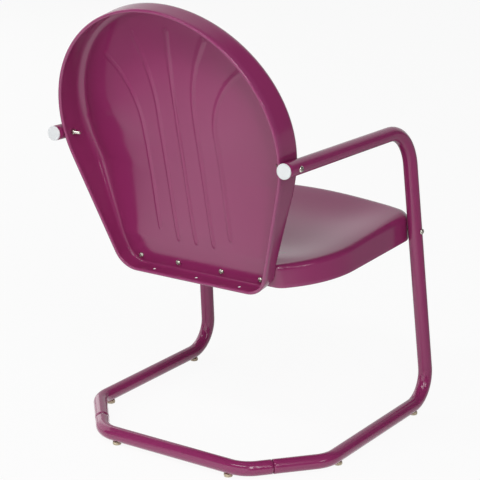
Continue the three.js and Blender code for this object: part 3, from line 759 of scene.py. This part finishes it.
def seatHeight(x, y):
    s = seatSizes
    length = seatFrame()[1]
    share = -y / length
    across = (x / seatHalfWidth()) ** 2
    edge = s["rearSkirt"] + (s["frontSkirt"] - s["rearSkirt"]) * share
    edge = edge + s["frontCrown"] * share * (1 - across)
    outward = np.minimum(np.hypot(across, (2 * share - 1) ** 2) / s["dishShare"], 1)
    return edge - s["dish"] * (1 - smoothStep(outward, 0, 1))


def seatOutline():
    s = seatSizes
    steps = s["outlineSteps"]
    bowRadius, corner = s["bowRadius"], s["frontCornerRadius"]
    shoulderRadius, rearCorner = s["shoulderRadius"], s["rearCornerRadius"]
    rearward, length, _ = seatFrame()
    half = seatHalfWidth()
    bowY = bowRadius - length
    cornerX = half - corner
    cornerY = bowY - math.sqrt((bowRadius - corner) ** 2 - cornerX**2)
    bowAngle = math.atan2(cornerY - bowY, cornerX)
    shoulderX, shoulderY = half - shoulderRadius, -rearward - s["shoulderForward"]
    reach = shoulderRadius - rearCorner
    turn = math.asin((-rearCorner - shoulderY) / reach)
    rearX = shoulderX + reach * math.cos(turn)
    bow = arcPoints((0, bowY), bowRadius, -math.pi / 2, bowAngle, steps["bow"])
    front = arcPoints((cornerX, cornerY), corner, bowAngle, 0, steps["frontCorner"])
    shoulder = arcPoints((shoulderX, shoulderY), shoulderRadius, 0, turn, steps["shoulder"])
    rear = arcPoints((rearX, -rearCorner), rearCorner, turn, math.pi / 2, steps["rearCorner"])
    end = arcPoints((0, 0), 0, math.pi / 2, math.pi / 2, 0)
    return mirroredOutline([bow, front, shoulder, rear, end], (0, steps["side"], 0, steps["rear"]))


def makeSeatPan():
    s = seatSizes
    rearward, length, pitch = seatFrame()
    low, high = s["foldRadii"]
    wallLean = math.tan(backSizes["lean"] - pitch)

    def foldRadius(at, out):
        forwards = smoothStep(-at[:, 1] / length, *s["foldGrowth"])
        return low + (high - low) * np.maximum(np.maximum(-out[:, 1], 0) ** 2, forwards)

    def drift(out, depth):
        towardsRear = np.maximum(out[:, 1:2], 0) ** 2
        return np.concatenate([np.zeros_like(depth), depth * wallLean * towardsRear], 1)

    shape = (seatOutline(), (0.0, -length / 2), s, seatHeight, foldRadius, drift)
    sheet = pressedSheet("seat_pressing", *shape)
    sheet.data.materials.append(plumCoat)
    walled(sheet, s["sheet"])
    place = Matrix.Translation((0, rearward, s["rimHeight"]))
    sheet.data.transform(place @ Matrix.Rotation(-pitch, 4, "X"))
    toFrame(smooth(sheet))
    return ride(sheet, "seat_and_back", "plum_coat", "seat_pan")


# Tube frame


def armSpan():
    # How far the arms stand out where they pass the back's flange, and how far they splay
    t, b = tubeSizes, backSizes
    endY, endZ = t["armEnd"]
    bendY, bendX, bendZ = t["armBend"]
    depth = b["sideDepth"] - b["foldRadii"][1]
    sine, cosine = math.sin(b["lean"]), math.cos(b["lean"])

    def flangeFront(height):
        up = (height - b["rimHeight"] - depth * sine) / cosine
        return up, b["rimRearward"] + up * sine - depth * cosine

    length = endY - bendY
    share = (endY - flangeFront(endZ)[1]) / length
    up, rearward = flangeFront(endZ + share * (bendZ - endZ))
    below = max(b["topCentreUp"] - b["flangeDrop"] - up, 0)
    reach = math.sqrt((b["topRadius"] + seatSizes["gap"] + t["radius"]) ** 2 - below**2)
    splay = (reach - bendX) / (rearward - bendY)
    return bendX + splay * length, splay


def frameCorners(side):
    t = tubeSizes
    floor = t["floorHeight"]
    bendY, bendX, bendZ = t["armBend"]
    footY, footX = t["footBend"]
    crossX, crossY = t["crossBend"]
    return {
        "armEnd": Vector((side * armSpan()[0], *t["armEnd"])),
        "armBend": Vector((side * bendX, bendY, bendZ)),
        "footBend": Vector((side * footX, footY, floor)),
        "runnerBend": Vector((side * footX, t["runnerBendRearward"], floor)),
        "crossBend": Vector((side * crossX, crossY, floor)),
    }


def seamOf(side):
    corners = frameCorners(side)
    way = (corners["crossBend"] - corners["runnerBend"]).normalized()
    return corners["runnerBend"].lerp(corners["crossBend"], tubeSizes["seamShare"]), way


def bentLine(corners, radii):
    # Points of a bent centre line: close together in the bends, evenly spaced on the straight runs
    t = tubeSizes
    points = [corners[0]]

    def straightTo(end):
        start = points[-1]
        count = max(1, math.ceil((end - start).length / t["stationStep"]))
        points.extend(start.lerp(end, i / count) for i in range(1, count + 1))

    for corner, before, after, radius in zip(corners[1:-1], corners, corners[2:], radii):
        into, away = (corner - before).normalized(), (after - corner).normalized()
        turn = into.angle(away)
        axis = into.cross(away).normalized()
        start = corner - into * radius * math.tan(turn / 2)
        centre = start + axis.cross(into) * radius
        straightTo(start)
        steps = math.ceil(math.degrees(turn) / t["bendStepDegrees"])
        for i in range(1, steps + 1):
            spin = Matrix.Rotation(turn * i / steps, 3, axis)
            points.append(centre + spin @ (start - centre))
    straightTo(corners[-1])
    return points


def withEnds(points, radius, atStart=True, atEnd=True):
    # Radii along a line, with a small rounding where the tube is cut off
    rounding = tubeSizes["endRounding"]
    sizes = [radius] * len(points)
    for wanted, end, beside in ((atStart, 0, 1), (atEnd, -1, -2)):
        if not wanted:
            continue
        extra = points[end].lerp(points[beside], rounding / (points[end] - points[beside]).length)
        place = 1 if end == 0 else len(points) - 1
        points.insert(place, extra)
        sizes.insert(place, radius)
        sizes[end] = radius - rounding
    return points, sizes


bentTube = tubeTree()


def tubeObject(name, points, radii):
    obj = meshObject(name, points, edges=[(i, i + 1) for i in range(len(points) - 1)])
    floatAttribute(obj, "radius", radii)
    grown(obj, bentTube, Sides=tubeSizes["sides"], Material=plumCoat)
    walled(obj, tubeSizes["wall"])
    return toFrame(smooth(obj))


def makeSideTube(side, hand):
    t = tubeSizes
    corners = frameCorners(side)
    line = [corners[k] for k in ("armEnd", "armBend", "footBend", "runnerBend")] + [seamOf(side)[0]]
    points = bentLine(line, (t["armBendRadius"], t["footBendRadius"], t["cornerRadius"]))
    obj = tubeObject(f"{hand}_arm_and_leg_tube", *withEnds(points, t["radius"]))
    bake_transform(obj)
    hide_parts(f"{hand}_side_tube")


def makeCrossTube():
    t = tubeSizes
    (rightAt, rightWay), (leftAt, leftWay) = seamOf(-1), seamOf(1)
    corners = [
        rightAt + rightWay * t["seamGap"],
        frameCorners(-1)["crossBend"],
        frameCorners(1)["crossBend"],
        leftAt + leftWay * t["seamGap"],
    ]
    points, radii = withEnds(bentLine(corners, (t["cornerRadius"],) * 2), t["radius"])
    neck, step = t["neckRadius"], t["neckStep"]
    points = [rightAt - rightWay * t["neckLength"], corners[0] - rightWay * step, *points]
    points += [corners[-1] - leftWay * step, leftAt - leftWay * t["neckLength"]]
    obj = tubeObject("rear_floor_tube", points, [neck, neck, *radii, neck, neck])
    return ride(obj, "base", "plum_coat", "rear_cross_tube")


# Small pieces that repeat


def turnedPiece(name, profile, sides=32):
    # A piece of revolution from (radius, height) pairs that start and end on the axis
    rings = [roundRing(radius, height, sides) for radius, height in profile[1:-1]]
    points, faces = ringSkin(rings, ((0, 0, profile[0][1]), (0, 0, profile[-1][1])))
    return outwards(smooth(meshObject(name, points, faces)))


def outwards(obj):
    # Turns the faces round if they enclose a negative volume
    obj.data.calc_loop_triangles()
    at = obj.data.vertices
    volume = 0
    for tri in obj.data.loop_triangles:
        a, b, c = (at[i].co for i in tri.vertices)
        volume += a.dot(b.cross(c))
    if volume < 0:
        obj.data.flip_normals()
    return obj


def sharpEdges(obj, degrees=35):
    obj.data.set_sharp_from_angle(angle=math.radians(degrees))
    return obj


copiesOnPoints = copiesTree()


def copies(name, piece, places, material):
    # One mesh of all the copies of a piece, each at its place and aimed along its direction
    obj = meshObject(name, [at for at, _ in places])
    aim = obj.data.attributes.new("aim", "FLOAT_VECTOR", "POINT")
    aim.data.foreach_set("vector", [c for _, way in places for c in way])
    grown(obj, copiesOnPoints, Piece=piece, Material=material)
    bpy.data.objects.remove(piece)
    return toFrame(obj)


boltSizes = {
    "shank": 3.0,
    "headRadius": 5.7,
    "headHeight": 3.3,
    "headEdge": (0.25, 0.8),
    "crownTurn": math.radians(75),
    "crownSteps": 4,
    "socketAcross": 4.0,
    "socketDepth": 2.0,
    "socketEase": (1.25, 0.15),
    "armRearward": 201.0,
    "armLength": 50.0,
    "seatHeight": 377.0,
    "seatLength": 42.0,
    "backUp": 14.1,
    "backOffsets": (-137.3, -49.8, 49.8, 137.3),
    "backLength": 16.0,
    "plainShare": 0.45,
    "threadLeast": 14.0,
    "threadPitch": 1.0,
    "threadDepth": 0.45,
    "tipEase": 0.8,
}


def boltPiece(length):
    # Button head with a hexagon socket; the thread shows as close grooves on the shank
    z = boltSizes
    edge, edgeTop = z["headEdge"]
    high, turn = z["headHeight"], z["crownTurn"]
    floor = high - z["socketDepth"]
    wider, lower = z["socketEase"]
    mouth = z["socketAcross"] / 2 * wider
    hexagon = hexagonRadii(z["socketAcross"])
    profile = [(hexagon, floor), (hexagon, high - lower), (mouth, high)]
    for step in range(1, z["crownSteps"] + 1):
        share = step / z["crownSteps"]
        out = math.sin(share * turn) / math.sin(turn)
        down = (1 - math.cos(share * turn)) / (1 - math.cos(turn))
        radius = mouth + (z["headRadius"] - mouth) * out
        profile.append((radius, high - (high - edgeTop) * down))
    profile += [(z["headRadius"], edge), (z["headRadius"] - edge, 0), (z["shank"], 0)]
    start = min(length * z["plainShare"], length - z["threadLeast"])
    profile.append((z["shank"], -start))
    for i in range(int((length - start) / z["threadPitch"])):
        profile.append((z["shank"] - z["threadDepth"], -start - (i + 0.5) * z["threadPitch"]))
        profile.append((z["shank"], -start - (i + 1) * z["threadPitch"]))
    profile.append((z["shank"] - z["tipEase"], -length))
    rings = [roundRing(*row) for row in profile]
    points, faces = ringSkin(rings, ((0, 0, floor), (0, 0, -length)))
    return sharpEdges(outwards(smooth(meshObject("bolt", points, faces))), degrees=28)


nutSizes = {"across": 10.0, "height": 5.0, "boreGap": 0.2, "boreEase": 0.4, "chamferShare": 0.6}


def nutPiece():
    # Hexagon nut: chamfered corners top and bottom round a plain bore
    n = nutSizes
    half, high, ease = n["across"] / 2, n["height"], n["boreEase"]
    chamfer = (half / math.cos(math.pi / 6) - half) * n["chamferShare"]
    bore = boltSizes["shank"] + n["boreGap"]
    hexagon = hexagonRadii(n["across"])
    profile = [(hexagon, chamfer - high), (hexagon, -chamfer), (half, 0), (bore + ease, 0)]
    profile += [(bore, -ease), (bore, ease - high), (bore + ease, -high), (half, -high)]
    rings = [roundRing(*row) for row in profile]
    points, faces = ringSkin([*rings, rings[0]])
    last = sum(len(ring) for ring in rings)  # the repeated ring is the first one
    faces = [tuple(i - last if i >= last else i for i in face) for face in faces]
    return sharpEdges(outwards(smooth(meshObject("nut", points[:last], faces))), degrees=28)


def onRun(start, end, axis, value):
    return start.lerp(end, (value - start[axis]) / (end[axis] - start[axis]))


def sideBolts():
    # Places and aims of the arm bolts and the seat bolts
    t, z, s = tubeSizes, boltSizes, seatSizes
    arm, seat = [], []
    for side in (-1, 1):
        corners = frameCorners(side)
        centre = onRun(corners["armEnd"], corners["armBend"], 1, z["armRearward"])
        reach = abs(centre.x) + t["radius"] + s["gap"] + z["headRadius"] * armSpan()[1]
        arm.append((Vector((side * reach, centre.y, centre.z)), Vector((side, 0, 0))))
        centre = onRun(corners["armBend"], corners["footBend"], 2, z["seatHeight"])
        reach = abs(centre.x) + t["radius"] + s["gap"] + z["headRadius"] * legSpread()
        seat.append((Vector((side * reach, centre.y, centre.z)), Vector((side, 0, 0))))
    return arm, seat


def backBolts():
    z, b, s = boltSizes, backSizes, seatSizes
    place = backPlacement()
    aim = Vector((0, math.cos(b["lean"]), -math.sin(b["lean"])))
    at = []
    for x in z["backOffsets"]:
        panel = float(backDepth(np.array([x]), np.array([z["backUp"]]))[0])
        depth = panel - b["sheet"] - 2 * s["gap"]
        at.append((place @ Vector((x, z["backUp"], depth)), aim))
    return at


def fastenerNodes(kind, piece):
    if kind == "back":
        return [f"back_{piece}_{i + 1}" for i in range(len(boltSizes["backOffsets"]))]
    return [f"{hand}_{kind}_{piece}" for hand in ("right", "left")]


def makeFasteners():
    z = boltSizes
    arm, seat = sideBolts()
    rows = (
        ("arm", arm, z["armLength"], "plum_coat"),
        ("seat", seat, z["seatLength"], "bright_zinc"),
        ("back", backBolts(), z["backLength"], "bright_zinc"),
    )
    for kind, bolts, length, _ in rows:
        obj = copies(f"{kind}_bolts", boltPiece(length), bolts, brightZinc)
        ride(obj, "seat_and_back", "bright_zinc", *fastenerNodes(kind, "bolt"))
    for kind, bolts, _, slot in rows:
        nodes = fastenerNodes(kind, "nut")
        places = []
        for node, (_, aim) in zip(nodes, bolts):
            low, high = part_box(node)
            middle = (low + high) / 2 / mm - Vector((0, yShift, 0))
            places.append((middle + aim * nutSizes["height"] / 2, aim))
        obj = copies(f"{kind}_nuts", nutPiece(), places, brightZinc)
        ride(obj, "seat_and_back", slot, *nodes)


plugSizes = {
    "capLength": 3.6,
    "capRise": (0.6, 0.15, 0.2),
    "rounding": 1.6,
    "roundSteps": 6,
    "proud": 0.1,
    "edge": 0.4,
    "stemRadius": 11.6,
    "stemLength": 22.0,
    "stemEase": 1.5,
    "neckEase": 0.1,
    "gap": 0.3,
}


def makePlugs():
    t, p = tubeSizes, plugSizes
    rim, stem, low = t["radius"] + p["proud"], p["stemRadius"], -p["stemLength"]
    profile = [(0, low), (stem - p["stemEase"], low), (stem, low + p["stemEase"])]
    profile += [(stem, p["gap"] - p["neckEase"]), (rim - p["edge"], p["gap"])]
    profile.append((rim, p["gap"] + p["edge"]))
    for step in range(p["roundSteps"] + 1):
        angle = step / p["roundSteps"] * math.pi / 2
        inset = p["rounding"] * (1 - math.cos(angle))
        profile.append((rim - inset, p["capLength"] - p["rounding"] * (1 - math.sin(angle))))
    share, rise, top = p["capRise"]
    profile += [(rim * share, p["capLength"] + rise), (0, p["capLength"] + top)]
    places = []
    for side in (-1, 1):
        corners = frameCorners(side)
        places.append((corners["armEnd"], (corners["armEnd"] - corners["armBend"]).normalized()))
    cap = sharpEdges(turnedPiece("cap", profile, sides=48), degrees=40)
    obj = copies("arm_end_caps", cap, places, whitePlastic)
    return ride(obj, "seat_and_back", "white_plastic", "right_arm_plug", "left_arm_plug")


glideSizes = {
    "height": 6.2,
    "radius": 8.5,
    "neckRadius": 7.9,
    "shoulders": (0.68, 0.74, 0.78),
    "shoulderEase": 0.3,
    "footEase": ((1.6, 0.0), (0.5, 0.5), (0.0, 1.5)),
    "stem": 3.0,
    "stemReach": 8.0,
    "frontForward": 216.0,
    "runnerRearward": 72.0,
    "rearHalfSpan": 130.5,
}


def makeGlides():
    t, g = tubeSizes, glideSizes
    high, radius, neck = g["height"], g["radius"], g["neckRadius"]
    low, middle, top = (high * share for share in g["shoulders"])
    profile = [(0, 0)] + [(radius - inset, up) for inset, up in g["footEase"]]
    profile += [(radius, low), (radius - g["shoulderEase"], middle), (neck, top), (neck, high)]
    profile += [(g["stem"], high), (g["stem"], high + g["stemReach"]), (0, high + g["stemReach"])]
    places, nodes = [], []
    for side, hand in ((-1, "right"), (1, "left")):
        spots = {
            "front": (side * t["footBend"][1], -g["frontForward"], 0),
            "runner": (side * t["footBend"][1], g["runnerRearward"], 0),
            "rear": (side * g["rearHalfSpan"], t["crossBend"][1], 0),
        }
        for place, spot in spots.items():
            places.append((Vector(spot), Vector((0, 0, 1))))
            nodes.append(f"{hand}_{place}_glide")
    obj = copies("floor_glides", sharpEdges(turnedPiece("glide", profile)), places, creamPlastic)
    return ride(obj, "base", "cream_plastic", *nodes)


makeBackShell()
print("back shell made")
makeSeatPan()
print("seat pan made")
for side, hand in ((-1, "right"), (1, "left")):
    makeSideTube(side, hand)
makeCrossTube()
print("tube frame made")
makeFasteners()
makePlugs()
makeGlides()
print("small pieces made")


# Floor, light and camera

roomLook = {
    "floorSize": 14.0,
    "floorColour": (0.88, 0.88, 0.88, 1),
    "floorRoughness": 0.9,
    "floorSpecular": 0.1,
    "floorGlow": 0.93,
    # A painted pool of light on the floor that only reflections see: centre, spread, soft edge,
    # levels
    "paintedPoolCentre": (0.0, 1.0, 0),
    "paintedPoolSpread": (0.9, 1.3, 1),
    "paintedPoolEdge": (0.4, 1.5),
    "paintedPoolLevels": (1.6, 0.35),
    "worldLevel": 0.09,
    "backdropLevel": 0.82,
    "backdropAim": (28, 20),
    "backdropEdge": (0.65, 0.9),
}

lampDistance = 4.2
lampTarget = Vector((0, 0, 0.4))
softPanels = {  # azimuth, elevation, width and height in degrees from the chair, and brightness
    "leftStrip": (222, 35, 8, 30, 9.5),
    "rightStrip": (240, 36, 5, 30, 7.0),
    "lowPanel": (258, 15, 15, 7, 7.0),
    "highPanel": (174, 54, 34, 7, 8.0),
    "sideWall": (88, 20, 66, 50, 1.5),
    "rearFill": (180, 6, 66, 30, 1.5),
}


def aimed(azimuth, elevation):
    # The direction towards a camera azimuth and elevation in degrees
    a, e = math.radians(azimuth), math.radians(elevation)
    return Vector((math.sin(a) * math.cos(e), -math.cos(a) * math.cos(e), math.sin(e)))


def eased(nodes, link, value, low, high, start, end):
    # A soft change from one level to another
    ease = nodes.new("ShaderNodeMapRange")
    ease.interpolation_type = "SMOOTHSTEP"
    labels = ("From Min", "From Max", "To Min", "To Max")
    for label, number in zip(labels, (low, high, start, end)):
        ease.inputs[label].default_value = number
    link(value, ease.inputs["Value"])
    return ease.outputs["Result"]


def seenRays(nodes, link):
    # Masks of what the camera sees straight, and of what it sees by gloss or through glass
    path = nodes.new("ShaderNodeLightPath")
    indirect = mathNode(nodes, "MAXIMUM")
    link(path.outputs["Is Glossy Ray"], indirect.inputs[0])
    link(path.outputs["Is Transmission Ray"], indirect.inputs[1])
    return path.outputs["Is Camera Ray"], indirect.outputs[0]


def makeFloor():
    # Pale floor: white to the camera under a faint shadow; glossy faces see a painted pool of light
    half = roomLook["floorSize"] / 2
    points = [(-half, -half, 0), (half, -half, 0), (half, half, 0), (-half, half, 0)]
    floor = meshObject("floor", points, [(0, 1, 2, 3)])
    material, nodes, link = newMaterial("paleFloor")
    shader = nodes["Principled BSDF"]
    shader.inputs["Base Color"].default_value = roomLook["floorColour"]
    shader.inputs["Roughness"].default_value = roomLook["floorRoughness"]
    shader.inputs["Specular IOR Level"].default_value = roomLook["floorSpecular"]
    place = nodes.new("ShaderNodeTexCoord")
    offset = mathNode(nodes, "SUBTRACT", roomLook["paintedPoolCentre"], "ShaderNodeVectorMath")
    spread = mathNode(nodes, "DIVIDE", roomLook["paintedPoolSpread"], "ShaderNodeVectorMath")
    away = mathNode(nodes, "LENGTH", kind="ShaderNodeVectorMath")
    camera, indirect = seenRays(nodes, link)
    level = nodes.new("ShaderNodeMix")
    level.inputs["B"].default_value = 1
    glow = nodes.new("ShaderNodeEmission")
    seen = mathNode(nodes, "MAXIMUM")
    share = mathNode(nodes, "MULTIPLY", roomLook["floorGlow"])
    mix = nodes.new("ShaderNodeMixShader")
    link(place.outputs["Object"], offset.inputs[0])
    link(offset.outputs[0], spread.inputs[0])
    link(spread.outputs[0], away.inputs[0])
    # The painted pool of light: bright near the chair, dimmer further out
    paintedPool = eased(nodes, link, away.outputs["Value"], *roomLook["paintedPoolEdge"], *roomLook["paintedPoolLevels"])
    link(camera, level.inputs["Factor"])
    link(paintedPool, level.inputs["A"])
    link(level.outputs["Result"], glow.inputs["Strength"])
    link(camera, seen.inputs[0])
    link(indirect, seen.inputs[1])
    link(seen.outputs[0], share.inputs[0])
    link(share.outputs[0], mix.inputs["Fac"])
    link(shader.outputs[0], mix.inputs[1])
    link(glow.outputs[0], mix.inputs[2])
    link(mix.outputs[0], nodes["Material Output"].inputs["Surface"])
    floor.data.materials.append(material)


def makeWorld():
    # Even light all round; the camera sees white, and glossy faces see a white backdrop on one side
    world = bpy.data.worlds.new("studio")
    bpy.context.scene.world = world
    world.use_nodes = True
    nodes, link = world.node_tree.nodes, world.node_tree.links.new
    light = nodes["Background"]
    light.inputs["Color"].default_value = (1, 1, 1, 1)
    light.inputs["Strength"].default_value = roomLook["worldLevel"]
    white = nodes.new("ShaderNodeBackground")
    white.inputs["Color"].default_value = (1, 1, 1, 1)
    place = nodes.new("ShaderNodeTexCoord")
    aim = aimed(*roomLook["backdropAim"])
    facing = mathNode(nodes, "DOT_PRODUCT", aim, "ShaderNodeVectorMath")
    camera, indirect = seenRays(nodes, link)
    backdrop = mathNode(nodes, "MULTIPLY")
    seen = mathNode(nodes, "MAXIMUM")
    mix = nodes.new("ShaderNodeMixShader")
    link(place.outputs["Generated"], facing.inputs[0])
    levels = (*roomLook["backdropEdge"], 0, roomLook["backdropLevel"])
    link(indirect, backdrop.inputs[0])
    link(eased(nodes, link, facing.outputs["Value"], *levels), backdrop.inputs[1])
    link(camera, seen.inputs[0])
    link(backdrop.outputs[0], seen.inputs[1])
    link(seen.outputs[0], mix.inputs["Fac"])
    link(light.outputs[0], mix.inputs[1])
    link(white.outputs[0], mix.inputs[2])
    link(mix.outputs[0], nodes["World Output"].inputs["Surface"])


def makeLamp(name, azimuth, elevation, width, height, brightness):
    # A soft panel that faces the chair
    data = bpy.data.lights.new(name, "AREA")
    data.shape = "RECTANGLE"
    data.size = 2 * lampDistance * math.tan(math.radians(width / 2))
    data.size_y = 2 * lampDistance * math.tan(math.radians(height / 2))
    data.energy = brightness * math.pi * data.size * data.size_y
    lamp = inScene(name, data)
    way = aimed(azimuth, elevation)
    lamp.location = lampTarget + way * lampDistance
    lamp.rotation_euler = (-way).to_track_quat("-Z", "Y").to_euler()
    lamp.visible_camera = False


cameraSizes = {
    "azimuth": 214.7,
    "elevation": 16.9,
    "roll": -0.4,
    "targetHeight": 0.3845,
    "distance": 3.325,
    "focalPixels": 1728.4,
    "centrePixel": (239.1, 234.9),
    "imagePixels": 480.0,
    "sensorWidth": 36,
}


def makeCamera():
    c = cameraSizes
    back = aimed(c["azimuth"], c["elevation"])
    a = math.radians(c["azimuth"])
    right = Vector((math.cos(a), math.sin(a), 0))
    up = back.cross(right)
    r = math.radians(c["roll"])
    rolledRight = right * math.cos(r) + up * math.sin(r)
    rolledUp = up * math.cos(r) - right * math.sin(r)
    data = bpy.data.cameras.new("camera")
    data.sensor_width = c["sensorWidth"]
    data.lens = c["focalPixels"] / c["imagePixels"] * c["sensorWidth"]
    half = c["imagePixels"] / 2
    data.shift_x = (half - c["centrePixel"][0]) / c["imagePixels"]
    data.shift_y = (c["centrePixel"][1] - half) / c["imagePixels"]
    camera = inScene("camera", data)
    turn = Matrix((rolledRight, rolledUp, back)).transposed().to_4x4()
    target = Vector((0, yShift * mm, c["targetHeight"]))
    camera.matrix_world = Matrix.Translation(target + back * c["distance"]) @ turn
    bpy.context.scene.camera = camera


makeFloor()
makeWorld()
for name, place in softPanels.items():
    makeLamp(name, *place)
makeCamera()
bpy.context.scene.view_settings.view_transform = "Standard"
print("room made")
